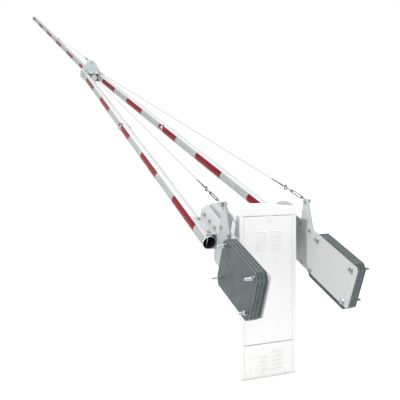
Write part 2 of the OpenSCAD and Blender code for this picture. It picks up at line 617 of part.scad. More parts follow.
// ---------- stays ----------
// all stay points are in the boom's own frame
eye_t = [mast_x + mast_t + 12, eye_a * cos(arm_tilt) - eye_u * sin(arm_tilt), eye_a * sin(arm_tilt) + eye_u * cos(arm_tilt)];
stay_end = [tube_x(jb_y) - 12, jb_y - 60, tr + 22];
king_pt = [0, face_y + face_t + 38, king_u];
tip_pt = [0, splice_tip, trt + 18];
function unit(v) = v / norm(v);
function lerp(a, b, t) = a + unit(b - a) * t;
module along(a, b) { v = b - a; translate(a) rotate([0, 0, atan2(v[1], v[0])]) rotate([0, acos(v[2] / norm(v)), 0]) children(); }
module rod(a, b, d) along(a, b) cylinder(h = norm(b - a), d = d, $fn = 16);
// fork with its pin; half gap g, cheek t, half width w, pin d, reach l
module clevis(g, t, w, d, l) {
  for (y = [-g - t, g]) translate([0, y, 0]) {
    translate([-w, 0, 0]) cube([2 * w, t, l + 1]);
    rotate([-90, 0, 0]) cylinder(h = t, r = w);
  }
  translate([-w, -g - t, l]) cube([2 * w, 2 * (g + t), 8]);
  rotate([90, 0, 0]) translate([0, 0, -g - t - 3]) cylinder(h = 2 * (g + t + 3), d = d);
}
module link(r0, r1, h) rotate([90, 0, 0]) translate([0, 0, -h / 2]) difference() {
  cylinder(h = h, r = r1);
  translate([0, 0, -1]) cylinder(h = h + 2, r = r0);
}
module turnbuckle(a, b, k, z0) along(a, b) {
  // threaded ends, open body and closing eye
  translate([0, 0, z0]) cylinder(h = 66 * k + 1 - z0, d = 10 * k);
  translate([0, 0, 66 * k]) cylinder(h = 16 * k, d = 18 * k);
  for (s = [-1, 1]) translate([s * 9 * k - 2.6 * k, -5 * k, 80 * k]) cube([5.2 * k, 10 * k, 124 * k]);
  translate([0, 0, 202 * k]) cylinder(h = 16 * k, d = 18 * k);
  translate([0, 0, 217 * k]) cylinder(h = 50 * k, d = 10 * k);
  translate([0, 0, 284 * k]) link(12 * k, 20 * k, 8 * k);
}
module turnbuckles() color(grey) boom_frame() {
  both() {
    turnbuckle(eye_t, stay_end, 1, 13.5);
    translate(eye_t) difference() { xcyl(-5.5, 5.5, 30); xcyl(-8, 8, 14.4); }
  }
  turnbuckle(king_pt, tip_pt, 0.9, 27);
  along(king_pt, tip_pt) clevis(7.4, 5, 10, 14, 20);
}
cable_d = 6;
module stay(a, b, k) {
  along(a, b) {
    translate([0, 0, 303 * k]) rotate(90) link(12 * k, 17 * k, 6 * k);
    translate([0, 0, 322 * k]) cylinder(h = 56 * k, d = 14 * k);
  }
  rod(lerp(a, b, 317 * k), lerp(b, a, 80 * k), cable_d);
  along(b, a) {
    clevis(5.4 * k, 4 * k, 9 * k, 10 * k, 24 * k);
    translate([0, 0, 24 * k + 7]) cylinder(h = 62 * k, d = 15 * k);
  }
}
module stay_cable() boom_frame() stay(eye_t, stay_end, 1);
module stay_cable_right() color(zinc) stay_cable();
module stay_cable_left() color(zinc) mirror([1, 0, 0]) stay_cable();
module tip_stay_cable() color(zinc) boom_frame() stay(king_pt, tip_pt, 0.9);
module stay_eyes() color(zinc) boom_frame() {
  both() {
    // bolt through the mast top with two collars
    translate([mast_x - 14, eye_t[1], eye_t[2]]) { rotate([0, 90, 0]) hex(22, 14); xcyl(0, 50, 14); xcyl(mast_t + 14, mast_t + 20, 26); xcyl(mast_t + 32, mast_t + 37, 26); }
    // lug on the clamp plate
    difference() {
      translate([tube_x(jb_y) - 16, jb_y - 68, tr + 8.2]) box(0, 8, -14, 26, 0, 26);
      translate(stay_end) xcyl(-10, 10, 10.8);
    }
  }
  // lug on the tip tube
  difference() {
    translate([-4, splice_tip - 18, trt + 0.2]) box(0, 8, 0, 34, 0, 26);
    translate(tip_pt) xcyl(-10, 10, 9.6);
  }
}

base_plate();
inner_frame();
left_side_panel();
right_side_panel();
front_panel();
lower_rear_panel();
lid();
panel_screws();
shaft_seals();
bearing_left();
bearing_right();
gearbox();
motor();
motor_cowl();
gearmotor_plate();
buffer_bracket();
stop_buffers();
position_sensors();
sensor_bracket();
control_box();
control_box_cover();
cable_glands();
upper_door();
label_plate();
lock_body();
lock_barrel();
pinion();
main_shaft();
drive_sector();
stop_lever();
sensor_flag();
hub_left();
hub_right();
arm_plate_left();
arm_plate_right();
arm_bolts();
mast_left();
mast_right();
tube_channel_left();
tube_channel_right();
channel_bolts();
weights_left();
weights_right();
weight_studs();
side_tube_left();
side_tube_right();
splice_bolts();
joint_face_plate();
joint_clamp_plates();
joint_bolts();
tip_tube();
tip_cap();
red_tape();
white_tape();
stay_cable_left();
stay_cable_right();
tip_stay_cable();
turnbuckles();
stay_eyes();
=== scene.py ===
"""Looks of a long-arm parking barrier gate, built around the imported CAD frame."""

import json
import math
import random

import bmesh
import bpy
from mathutils import Matrix, Vector

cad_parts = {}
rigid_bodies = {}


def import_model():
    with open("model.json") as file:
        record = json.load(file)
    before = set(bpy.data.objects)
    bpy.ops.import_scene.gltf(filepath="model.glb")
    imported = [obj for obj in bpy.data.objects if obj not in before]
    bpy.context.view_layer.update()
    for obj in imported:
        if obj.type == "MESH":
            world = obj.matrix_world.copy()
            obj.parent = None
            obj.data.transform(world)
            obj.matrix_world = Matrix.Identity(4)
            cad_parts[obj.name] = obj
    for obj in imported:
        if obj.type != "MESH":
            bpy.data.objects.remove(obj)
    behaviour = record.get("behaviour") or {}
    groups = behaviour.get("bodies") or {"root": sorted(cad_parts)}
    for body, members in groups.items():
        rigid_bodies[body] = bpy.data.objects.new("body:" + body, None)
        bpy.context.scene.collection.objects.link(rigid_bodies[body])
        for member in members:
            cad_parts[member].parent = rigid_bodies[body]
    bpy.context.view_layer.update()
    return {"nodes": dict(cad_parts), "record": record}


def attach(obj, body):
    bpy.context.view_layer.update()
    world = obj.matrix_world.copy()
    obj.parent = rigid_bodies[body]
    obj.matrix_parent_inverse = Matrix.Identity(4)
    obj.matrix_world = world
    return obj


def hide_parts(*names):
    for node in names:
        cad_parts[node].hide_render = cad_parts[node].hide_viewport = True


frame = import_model()
nodes = frame["nodes"]
scene = bpy.context.scene
random.seed(7)

# ------------------------------------------------------------------ camera
eye = Vector((-1.99158, -3.68489, 1.36314))
c_fwd = Vector((0.40680, 0.91294, -0.03251)).normalized()
c_right = Vector((0.91329, -0.40723, -0.00779)).normalized()
c_up = c_right.cross(c_fwd).normalized()
cam_data = bpy.data.cameras.new("camera")
cam_data.sensor_width = 36.0
cam_data.lens = 36.0 * 603.525 / 400.0
cam_data.shift_x = -0.01239
cam_data.shift_y = -0.02057
cam_data.clip_end = 200.0
cam = bpy.data.objects.new("camera", cam_data)
scene.collection.objects.link(cam)
rows = [[c_right[i], c_up[i], -c_fwd[i], eye[i]] for i in range(3)] + [[0, 0, 0, 1]]
cam.matrix_world = Matrix(rows)
scene.camera = cam

# ------------------------------------------------------------------ light
scene.view_settings.view_transform = "Standard"
scene.view_settings.look = "None"
world = bpy.data.worlds.new("studio")
scene.world = world
world.use_nodes = True
world.node_tree.nodes["Background"].inputs[0].default_value = (1.0, 1.0, 1.0, 1)
# white in front and around the view, darker from the right and from below
wt = world.node_tree
w_co = wt.nodes.new("ShaderNodeTexCoord")
w_sep = wt.nodes.new("ShaderNodeSeparateXYZ")
wt.links.new(w_co.outputs["Generated"], w_sep.inputs[0])


def w_range(sock, lo, hi, a, b):
    x = wt.nodes.new("ShaderNodeMapRange")
    x.interpolation_type = "SMOOTHSTEP"
    wt.links.new(sock, x.inputs["Value"])
    for k, v in (("From Min", lo), ("From Max", hi), ("To Min", a), ("To Max", b)):
        x.inputs[k].default_value = v
    return x.outputs[0]


w_mul = wt.nodes.new("ShaderNodeMath")
w_mul.operation = "MULTIPLY"
wt.links.new(w_range(w_sep.outputs[0], 0.74, 0.92, 1.0, 0.35), w_mul.inputs[0])
wt.links.new(w_range(w_sep.outputs[2], -0.75, -0.45, 0.25, 1.0), w_mul.inputs[1])
wt.links.new(w_mul.outputs[0], wt.nodes["Background"].inputs[1])


def softbox(name, place, target, size, power):
    d = bpy.data.lights.new(name, "AREA")
    d.shape, d.size, d.energy = "DISK", size, power
    o = bpy.data.objects.new(name, d)
    o.location = place
    o.rotation_mode = "QUATERNION"
    o.rotation_quaternion = (Vector(target) - Vector(place)).to_track_quat("-Z", "Y")
    scene.collection.objects.link(o)
    return o


key = softbox("key", (-4.6, -0.22, 6.15), (0, -0.2, 0.9), 0.45, 440)

# ------------------------------------------------------------------ node helper


class Mat:
    """A small helper that builds one procedural material."""

    def __init__(self, name):
        self.m = bpy.data.materials.new(name)
        self.m.use_nodes = True
        self.t = self.m.node_tree
        self.t.nodes.clear()
        self.out = self.n("ShaderNodeOutputMaterial")
        self.p = self.n("ShaderNodeBsdfPrincipled")
        self.t.links.new(self.p.outputs[0], self.out.inputs[0])
        self.co = self.n("ShaderNodeTexCoord").outputs["Object"]

    def n(self, kind, **kw):
        node = self.t.nodes.new(kind)
        for k, v in kw.items():
            setattr(node, k, v)
        return node

    def link(self, a, b):
        self.t.links.new(a, b)

    def put(self, sock, v):
        if hasattr(v, "is_linked") or hasattr(v, "links"):
            self.link(v, sock)
        else:
            sock.default_value = v

    def mapping(self, scale=(1, 1, 1), rot=(0, 0, 0), vec=None):
        m = self.n("ShaderNodeMapping")
        self.link(vec or self.co, m.inputs[0])
        m.inputs["Scale"].default_value = scale
        m.inputs["Rotation"].default_value = [math.radians(a) for a in rot]
        return m.outputs[0]

    def noise(self, scale, detail=3.0, rough=0.55, vec=None, dist=0.0):
        x = self.n("ShaderNodeTexNoise")
        self.link(vec or self.co, x.inputs["Vector"])
        x.inputs["Scale"].default_value = scale
        x.inputs["Detail"].default_value = detail
        x.inputs["Roughness"].default_value = rough
        x.inputs["Distortion"].default_value = dist
        return x.outputs["Fac"]

    def voronoi(self, scale, vec=None, feature="F1", out="Distance", rand=1.0):
        x = self.n("ShaderNodeTexVoronoi", feature=feature)
        self.link(vec or self.co, x.inputs["Vector"])
        x.inputs["Scale"].default_value = scale
        x.inputs["Randomness"].default_value = rand
        return x.outputs[out]

    def math(self, op, a, b=0.0, c=0.0, clamp=False):
        x = self.n("ShaderNodeMath", operation=op, use_clamp=clamp)
        for s, v in zip(x.inputs, (a, b, c)):
            self.put(s, v)
        return x.outputs[0]

    def ramp(self, v, lo, hi, a=0.0, b=1.0, smooth=True):
        x = self.n("ShaderNodeMapRange", interpolation_type="SMOOTHSTEP" if smooth else "LINEAR")
        self.put(x.inputs["Value"], v)
        x.inputs["From Min"].default_value = lo
        x.inputs["From Max"].default_value = hi
        x.inputs["To Min"].default_value = a
        x.inputs["To Max"].default_value = b
        return x.outputs[0]

    def mix(self, f, a, b, blend="MIX"):
        x = self.n("ShaderNodeMix", data_type="RGBA", blend_type=blend)
        self.put(x.inputs[0], f)
        for s, v in ((x.inputs[6], a), (x.inputs[7], b)):
            if isinstance(v, (tuple, list)):
                s.default_value = (*v[:3], 1.0)
            else:
                self.link(v, s)
        return x.outputs[2]

    def sep(self, vec=None):
        x = self.n("ShaderNodeSeparateXYZ")
        self.link(vec or self.co, x.inputs[0])
        return x.outputs

    def comb(self, x, y, z):
        c = self.n("ShaderNodeCombineXYZ")
        for s, v in zip(c.inputs, (x, y, z)):
            self.put(s, v)
        return c.outputs[0]

    def bump(self, height, strength, distance=0.001, normal=None):
        b = self.n("ShaderNodeBump")
        b.inputs["Strength"].default_value = strength
        b.inputs["Distance"].default_value = distance
        self.link(height, b.inputs["Height"])
        if normal is not None:
            self.link(normal, b.inputs["Normal"])
        return b.outputs[0]

    def edge(self, radius=0.002, samples=4):
        """1 on sharp edges, 0 on flat areas."""
        b = self.n("ShaderNodeBevel", samples=samples)
        b.inputs["Radius"].default_value = radius
        g = self.n("ShaderNodeNewGeometry")
        d = self.n("ShaderNodeVectorMath", operation="DOT_PRODUCT")
        self.link(b.outputs[0], d.inputs[0])
        self.link(g.outputs["Normal"], d.inputs[1])
        return self.ramp(d.outputs["Value"], 0.995, 0.80)

    def set(self, **kw):
        names = {
            "color": "Base Color", "rough": "Roughness", "metal": "Metallic", "normal": "Normal",
            "coat": "Coat Weight", "coat_rough": "Coat Roughness", "spec": "Specular IOR Level",
            "aniso": "Anisotropic", "sheen": "Sheen Weight",
        }
        for k, v in kw.items():
            s = self.p.inputs[names[k]]
            if isinstance(v, (tuple, list)):
                s.default_value = (*v[:3], 1.0)
            elif isinstance(v, (int, float)):
                s.default_value = v
            else:
                self.link(v, s)
        return self.m


BOOM_TILT = 21.2


def along_boom(m):
    """Coordinates turned so that Y runs along the boom."""
    x = m.n("ShaderNodeMapping", vector_type="POINT")
    m.link(m.co, x.inputs[0])
    x.inputs["Location"].default_value = (0, 0, 0)
    x.inputs["Rotation"].default_value = (math.radians(-BOOM_TILT), 0, 0)
    return x.outputs[0]


def powder(name, color, peel=1.0, dirt=0.0, wear_and_highlight=0.0, grey=0.03, rough=0.42, under=(0.32, 0.34, 0.35)):
    """Powder coat: fine orange peel, faint clouding, dust and a little rain marking, worn edges."""
    m = Mat(name)
    cloud = m.noise(2.3, 4, 0.6)
    fine = m.noise(60, 3, 0.6)
    c = m.mix(m.ramp(cloud, 0.35, 0.7, 0, grey * 6), color, [x * (1 - grey) for x in color])
    c = m.mix(m.ramp(fine, 0.45, 0.75, 0, 0.35), c, [x * 0.985 for x in color])
    if dirt > 0:
        z = m.sep()[2]
        low = m.ramp(z, 0.0, 0.22, 1, 0)
        spots = m.ramp(m.noise(38, 5, 0.7), 0.48, 0.7)
        f = m.math("MULTIPLY", m.math("MULTIPLY", low, spots), dirt)
        c = m.mix(f, c, (0.42, 0.39, 0.34))
        streak = m.noise(1.0, 4, 0.6, vec=m.mapping((55, 55, 2.2)))
        c = m.mix(m.ramp(streak, 0.56, 0.78, 0, dirt * 0.16), c, (0.55, 0.53, 0.49))
    if wear_and_highlight > 0:
        e = m.math("MULTIPLY", m.edge(0.0022), m.ramp(m.noise(130, 4, 0.7), 0.5, 0.62))
        c = m.mix(m.math("MULTIPLY", e, wear_and_highlight), c, under)
    peel_h = m.noise(420, 2, 0.5)
    grain = m.noise(1600, 2, 0.5)
    h = m.math("ADD", peel_h, m.math("MULTIPLY", grain, 0.35))
    n = m.bump(h, 0.10 * peel, 0.0006)
    r = m.math("ADD", m.ramp(cloud, 0.3, 0.7, -0.05, 0.05), m.ramp(m.noise(240, 2), 0.3, 0.7, rough - 0.03, rough + 0.05))
    return m.set(color=c, rough=r, normal=n, coat=0.12, coat_rough=0.25)


def steel(name, color, rough=0.35, metal=1.0, streak=None, patch=0.25, bump=0.15, wear_and_highlight=(0.75, 0.77, 0.78), dark=None, edges=0.0, rim=0.0016):
    """Plated, rolled or machined steel with grain, blotches and bright worn edges; on the weights the bright edges
    are a painted highlight.
    """
    m = Mat(name)
    dark = dark or [x * 0.7 for x in color]
    cloud = m.noise(14, 5, 0.62)
    spangle = m.noise(90, 4, 0.6)
    c = m.mix(m.ramp(cloud, 0.35, 0.68, 0, patch * 2), color, dark)
    c = m.mix(m.ramp(spangle, 0.4, 0.7, 0, patch), c, [min(1, x * 1.18) for x in color])
    h = m.noise(700, 3, 0.6)
    if streak:
        s = m.noise(1.0, 5, 0.65, vec=m.mapping(streak, vec=along_boom(m)))
        c = m.mix(m.ramp(s, 0.32, 0.7, 0, 0.5), c, [x * 0.78 for x in color])
        h = m.math("ADD", h, m.math("MULTIPLY", s, 1.4))
    # bright band along sharp edges: worn metal, and on the weights a painted highlight where the edges catch the
    # light
    if edges > 0:
        c = m.mix(m.math("MULTIPLY", m.edge(rim), edges), c, wear_and_highlight)
    n = m.bump(h, bump, 0.0004)
    r = m.math("ADD", m.ramp(spangle, 0.3, 0.75, -0.06, 0.09), m.ramp(cloud, 0.3, 0.7, rough - 0.05, rough + 0.06))
    return m.set(color=c, rough=r, metal=metal, normal=n)


def plastic(name, color, rough=0.5, grain=0.25, coat=0.0):
    m = Mat(name)
    cloud = m.noise(9, 4, 0.6)
    c = m.mix(m.ramp(cloud, 0.3, 0.75, 0, 0.8), color, [min(1, x * 1.25 + 0.006) for x in color])
    dust = m.ramp(m.noise(160, 4, 0.7), 0.55, 0.8, 0, 0.25)
    c = m.mix(dust, c, (0.35, 0.34, 0.32))
    v = m.voronoi(1500)
    n = m.bump(m.math("ADD", v, m.noise(800, 3)), grain, 0.0004)
    r = m.ramp(m.noise(45, 3), 0.3, 0.75, rough - 0.06, rough + 0.1)
    return m.set(color=c, rough=r, normal=n, coat=coat, coat_rough=0.2)


def hex_cells(m, u, v, size):
    """0 in the middle of a hexagonal cell and 1 on its border; u and v are lengths on the surface."""
    r = (1.0, math.sqrt(3.0))
    p = m.comb(m.math("DIVIDE", u, size), m.math("DIVIDE", v, size), 0.0)

    def wrap(vec):
        md = m.n("ShaderNodeVectorMath", operation="MODULO")
        ad = m.n("ShaderNodeVectorMath", operation="ADD")
        m.link(vec, ad.inputs[0])
        ad.inputs[1].default_value = (r[0] * 20000, r[1] * 20000, 0)
        m.link(ad.outputs[0], md.inputs[0])
        md.inputs[1].default_value = (r[0], r[1], 1)
        sb = m.n("ShaderNodeVectorMath", operation="SUBTRACT")
        m.link(md.outputs[0], sb.inputs[0])
        sb.inputs[1].default_value = (r[0] / 2, r[1] / 2, 0)
        ab = m.n("ShaderNodeVectorMath", operation="ABSOLUTE")
        m.link(sb.outputs[0], ab.inputs[0])
        return ab.outputs[0]

    a = wrap(p)
    sh = m.n("ShaderNodeVectorMath", operation="SUBTRACT")
    m.link(p, sh.inputs[0])
    sh.inputs[1].default_value = (r[0] / 2, r[1] / 2, 0)
    b = wrap(sh.outputs[0])

    def dist(q):
        s = m.sep(q)
        d = m.math("ADD", m.math("MULTIPLY", s[0], 0.5), m.math("MULTIPLY", s[1], 0.8660254))
        return m.math("MAXIMUM", s[0], d)

    return m.math("MULTIPLY", m.math("MINIMUM", dist(a), dist(b)), 2.0)


def tape(name, color, cell, bright):
    """Reflective sheeting: a net of small hexagons under a clear film, with faint creases."""
    m = Mat(name)
    q = along_boom(m)
    s = m.sep(q)
    d = hex_cells(m, s[1], m.math("ADD", s[2], 0.0), cell)
    net = m.ramp(d, 0.86, 0.96)
    cloud = m.noise(7, 4, 0.6)
    c = m.mix(m.ramp(cloud, 0.35, 0.7, 0, 0.7), color, [x * 0.86 for x in color])
    c = m.mix(m.math("MULTIPLY", net, 0.5), c, bright)
    scuff = m.ramp(m.noise(1.0, 5, 0.7, vec=m.mapping((40, 3, 120), vec=q)), 0.6, 0.8, 0, 0.25)
    c = m.mix(scuff, c, [min(1, x * 0.7 + 0.03) for x in color])
    h = m.math("ADD", m.math("MULTIPLY", net, 0.6), m.math("MULTIPLY", m.noise(60, 3), 0.7))
    n = m.bump(h, 0.06, 0.0002)
    r = m.ramp(m.noise(25, 4), 0.3, 0.75, 0.26, 0.42)
    return m.set(color=c, rough=r, normal=n, spec=0.12)


def tube_paint(name, color):
    """White lacquer on drawn aluminium: long faint die lines, haze and small chips."""
    m = Mat(name)
    q = along_boom(m)
    lines = m.noise(1.0, 3, 0.55, vec=m.mapping((420, 0.5, 420), vec=q))
    cloud = m.noise(1.6, 4, 0.6, vec=m.mapping((3, 1, 3), vec=q))
    c = m.mix(m.ramp(lines, 0.35, 0.7, 0, 0.5), color, [x * 0.965 for x in color])
    c = m.mix(m.ramp(cloud, 0.4, 0.75, 0, 0.6), c, [x * 0.95 for x in color])
    chip = m.ramp(m.noise(90, 5, 0.75), 0.72, 0.76)
    c = m.mix(m.math("MULTIPLY", chip, 0.6), c, (0.45, 0.46, 0.46))
    n = m.bump(m.math("ADD", m.math("MULTIPLY", lines, 0.8), m.noise(500, 2)), 0.05, 0.0004)
    r = m.ramp(m.noise(12, 4), 0.3, 0.75, 0.26, 0.4)
    return m.set(color=c, rough=r, normal=n, coat=0.45, coat_rough=0.22)


ARM = (0.41, 0.425, 0.42)
MATS = {
    "plinth_black": plastic("plinth_black", (0.02, 0.021, 0.022), 0.55, 0.3),
    "zinc_steel": steel("zinc_steel", (0.52, 0.54, 0.55), 0.42, 1.0, patch=0.35, edges=0.3),
    "casing_white": powder("casing_white", (0.885, 0.885, 0.88), dirt=0.35, wear_and_highlight=0.25, grey=0.02),
    "label_grey": steel("label_grey", (0.86, 0.87, 0.87), 0.38, 0.25, patch=0.1, bump=0.05),
    "seal_rubber": plastic("seal_rubber", (0.02, 0.02, 0.02), 0.7, 0.4),
    "bearing_blue": powder("bearing_blue", (0.035, 0.075, 0.13), peel=2.0, wear_and_highlight=0.8, rough=0.45, grey=0.15),
    "drive_blue": powder("drive_blue", (0.05, 0.11, 0.2), peel=2.2, wear_and_highlight=0.6, rough=0.4, grey=0.12),
    "black_plastic": plastic("black_plastic", (0.022, 0.024, 0.025), 0.45, 0.35),
    "box_grey": powder("box_grey", (0.55, 0.56, 0.57), wear_and_highlight=0.3, rough=0.4),
    "lock_chrome": steel("lock_chrome", (0.72, 0.73, 0.74), 0.16, 1.0, patch=0.1, bump=0.04),
    "gear_steel": steel("gear_steel", (0.42, 0.43, 0.43), 0.34, 1.0, patch=0.3, edges=0.6),
    "arm_white": powder("arm_white", ARM, peel=1.2, wear_and_highlight=0.35, grey=0.04, rough=0.38),
    "plate_white": powder("plate_white", (0.50, 0.53, 0.54), peel=1.2, wear_and_highlight=0.35, grey=0.05, rough=0.36),
    "bolt_zinc": steel("bolt_zinc", (0.46, 0.50, 0.52), 0.3, 1.0, patch=0.35, edges=0.5),
    # weights: the wide bright band along the plate edges is a painted highlight where the edges catch the light
    "weight_steel": steel("weight_steel", (0.064, 0.085, 0.089), 0.44, 0.35, streak=(500, 9, 260), patch=0.35, bump=0.3, wear_and_highlight=(0.46, 0.50, 0.50), edges=0.85, rim=0.0045),
    "tube_white": tube_paint("tube_white", (0.50, 0.515, 0.515)),
    "tape_red": tape("tape_red", (0.145, 0.003, 0.006), 0.0042, (0.18, 0.010, 0.013)),
    "tape_white": tape("tape_white", (0.265, 0.285, 0.285), 0.0042, (0.33, 0.345, 0.345)),
    "cable_steel": steel("cable_steel", (0.50, 0.51, 0.52), 0.4, 0.75, patch=0.12),
    "turnbuckle_steel": steel("turnbuckle_steel", (0.16, 0.18, 0.19), 0.4, 0.9, patch=0.35, edges=0.6),
}
slot_of = {x["node"]: x["material_slot"] for x in frame["record"]["subparts"]}

for name, obj in nodes.items():
    obj.data.materials.clear()
    obj.data.materials.append(MATS[slot_of[name]])

# the two masts get a darker and a paler copy of one paint: painted shade on the left mast and painted light on the
# right mast, which sits in the casing's shadow
nodes["mast_left"].data.materials[0] = powder("mast_left_painted_shade", (0.30, 0.33, 0.335), peel=1.2, wear_and_highlight=0.3, grey=0.05, rough=0.38)
nodes["mast_right"].data.materials[0] = powder("mast_right_painted_light", (0.43, 0.455, 0.46), peel=1.2, wear_and_highlight=0.3, grey=0.05, rough=0.38)
nodes["base_plate"].data.materials[0] = powder("plinth_pale", (0.78, 0.78, 0.77), dirt=0.5, wear_and_highlight=0.3, grey=0.04)
# the tip tube gets a darker copy of the tube paint: painted shade for the weaker light at the far end of the boom
nodes["tip_tube"].data.materials[0] = tube_paint("tip_tube_painted_shade", (0.36, 0.375, 0.375))

# ------------------------------------------------------------------ edges of the carried-over parts


def soften(node, width, angle=30.0, segments=2):
    """Rounds the sharp edges of a CAD node without touching its mesh."""
    o = nodes[node]
    for a in ("custom_normal",):
        if a in o.data.attributes:
            o.data.attributes.remove(o.data.attributes[a])
    w = o.modifiers.new("weld", "WELD")
    w.merge_threshold = 2e-5
    d = o.modifiers.new("flat", "DECIMATE")
    d.decimate_type = "DISSOLVE"
    d.angle_limit = math.radians(0.6)
    if width > 0:
        b = o.modifiers.new("round", "BEVEL")
        b.width = width * 0.001
        b.segments = segments
        b.limit_method = "ANGLE"
        b.angle_limit = math.radians(angle)
        b.harden_normals = False
        b.use_clamp_overlap = True
    return o


# ------------------------------------------------------------------ small parts, in mm


def T(x, y, z):
    return Matrix.Translation((x, y, z))


def R(deg, axis):
    return Matrix.Rotation(math.radians(deg), 4, axis)


CONV = math.degrees(math.atan((352 - 87.5) / 4960))
BOOM = T(0, 0, 930) @ R(BOOM_TILT, "X")
ARM = BOOM @ R(1.1, "X")
FRONT = ARM @ T(296, -85, 0) @ R(CONV, "Z")
TUBE = BOOM @ T(352, 0, 0) @ R(CONV, "Z")
FLIP = Matrix.Scale(-1, 4, (1, 0, 0))
ONE = Matrix.Identity(4)
Y90 = R(90, "Y")


def tube_x(a):
    return 352 - 0.053327 * a


def along(a, b):
    v = Vector(b) - Vector(a)
    return T(*a) @ R(math.degrees(math.atan2(v.y, v.x)), "Z") @ R(math.degrees(math.acos(v.z / v.length)), "Y")


class Part:
    """Gathers turned, hexagonal, threaded and lofted shapes into one mesh."""

    def __init__(self):
        self.bm = bmesh.new()

    def add(self, m, verts, faces):
        vs = [self.bm.verts.new((m @ Vector(v)) * 0.001) for v in verts]
        for f in faces:
            q = list(dict.fromkeys(f))
            if len(q) > 2:
                try:
                    self.bm.faces.new([vs[i] for i in q])
                except ValueError:
                    pass

    def lathe(self, m, prof, n=32):
        """Turned about Z from (z, r) points; a ring when the first and last points agree."""
        loop = prof[0] == prof[-1]
        pts = prof[:-1] if loop else prof
        verts, rows = [], []
        for z, r in pts:
            if r <= 1e-6:
                rows.append([len(verts)] * n)
                verts.append((0, 0, z))
            else:
                rows.append([len(verts) + j for j in range(n)])
                verts += [(r * math.cos(2 * math.pi * j / n), r * math.sin(2 * math.pi * j / n), z) for j in range(n)]
        faces = []
        k = len(rows)
        for i in range(k if loop else k - 1):
            a, b = rows[i], rows[(i + 1) % k]
            faces += [[a[j], a[(j + 1) % n], b[(j + 1) % n], b[j]] for j in range(n)]
        self.add(m, verts, faces)

    def washer(self, m, z0, z1, d, bore, c=0.5):
        r, b = d / 2, bore / 2
        self.lathe(m, [(z0, b), (z0, r - c), (z0 + c, r), (z1 - c, r), (z1, r - c), (z1, b + 0.3), (z0, b)], 40)

    def hexa(self, m, s, z0, z1, bore=0.0, low=True, high=True):
        """Hexagon head or nut with the round chamfer that turning leaves on its corners."""
        n = 36
        rc = 0.95 * s / 2
        rh = [s / 2 / math.cos(math.radians((j * 10) % 60 - 30)) for j in range(n)]
        cut = [(r - rc) * 0.577 for r in rh]
        ang = [math.radians(10 * j) for j in range(n)]

        def ring(rr, zz):
            return [(rr[j] * math.cos(ang[j]), rr[j] * math.sin(ang[j]), zz[j]) for j in range(n)]

        rings = [ring([bore / 2 if bore else 0.01] * n, [z0] * n)]
        if low:
            rings.append(ring([rc] * n, [z0] * n))
        rings.append(ring(rh, [z0 + (c if low else 0) for c in cut]))
        rings.append(ring(rh, [z1 - (c if high else 0) for c in cut]))
        if high:
            rings.append(ring([rc] * n, [z1] * n))
        rings.append(ring([(bore / 2 + 0.6) if bore else rc * 0.6] * n, [z1] * n))
        if bore:
            rings.append(ring([bore / 2] * n, [z1 - 0.8] * n))
        else:
            rings.append(ring([rc * 0.55] * n, [z1 - 0.35] * n))
            rings.append(ring([0.01] * n, [z1 - 0.35] * n))
        verts = [v for r in rings for v in r]
        faces = []
        k = len(rings)
        for i in range(k if bore else k - 1):
            a, b = i * n, ((i + 1) % k) * n
            faces += [[a + j, a + (j + 1) % n, b + (j + 1) % n, b + j] for j in range(n)]
        self.add(m, verts, faces)

    def thread(self, m, d, z0, z1, pitch, n=16, end=True):
        """A helical V thread; the free end at z1 is chamfered."""
        root = d / 2 - 0.58 * pitch
        top = z1 - (1.4 if end else 0)
        rows = int((top - z0) / (pitch / 2)) + 5
        verts = []
        for k in range(rows):
            for j in range(n):
                z = z0 + (k - 2) * pitch / 2 + pitch * j / n
                r = d / 2 if k % 2 == 0 else root
                if z < z0 or z > top:
                    z, r = min(max(z, z0), top), root
                a = 2 * math.pi * j / n
                verts.append((r * math.cos(a), r * math.sin(a), z))
        faces = []
        for k in range(rows - 1):
            for j in range(n):
                kk, jj = (k, j + 1) if j < n - 1 else (k + 2, 0)
                if kk + 1 >= rows:
                    continue
                faces.append([k * n + j, kk * n + jj, (kk + 1) * n + jj, (k + 1) * n + j])
        self.add(m, verts, faces)
        if end:
            self.lathe(m, [(z1 - 5, 0), (z1 - 5, root - 0.2), (z1 - 1.5, root), (z1, root - 1.2), (z1, 0)], n)

    def rod(self, m, d, z0, z1, c=0.8, n=24):
        r = d / 2
        self.lathe(m, [(z0, 0), (z0, r - c), (z0 + c, r), (z1 - c, r), (z1, r - c), (z1, 0)], n)

    def loft(self, m, rings):
        n = len(rings[0])
        verts = [v for r in rings for v in r]
        faces = [list(range(n))[::-1], [(len(rings) - 1) * n + j for j in range(n)]]
        for i in range(len(rings) - 1):
            a, b = i * n, (i + 1) * n
            faces += [[a + j, a + (j + 1) % n, b + (j + 1) % n, b + j] for j in range(n)]
        self.add(m, verts, faces)

    def ring(self, m, r0, r1, h, n=40, k=14):
        """A forged ring about Z with a rounded section."""
        cr, a, b = (r0 + r1) / 2, (r1 - r0) / 2, h / 2
        prof = []
        for i in range(k):
            t = 2 * math.pi * i / k
            c, sn = math.cos(t), math.sin(t)
            prof.append((-b * math.copysign(abs(c) ** 0.6, c), cr + a * math.copysign(abs(sn) ** 0.6, sn)))
        self.lathe(m, prof + [prof[0]], n)

    def rope(self, m, d, z0, z1, lay=38.0, step=5.0):
        """Six strands laid round a core."""
        n = 18
        rows = int((z1 - z0) / step) + 1
        rings = []
        for k in range(rows + 1):
            z = z0 + (z1 - z0) * k / rows
            w = 2 * math.pi * (z - z0) / lay
            ring = []
            for j in range(n):
                f = 2 * math.pi * j / n
                r = d / 2 * (0.80 + 0.20 * abs(math.cos(3 * f)))
                ring.append((r * math.cos(f + w), r * math.sin(f + w), z))
            rings.append(ring)
        self.loft(m, rings)

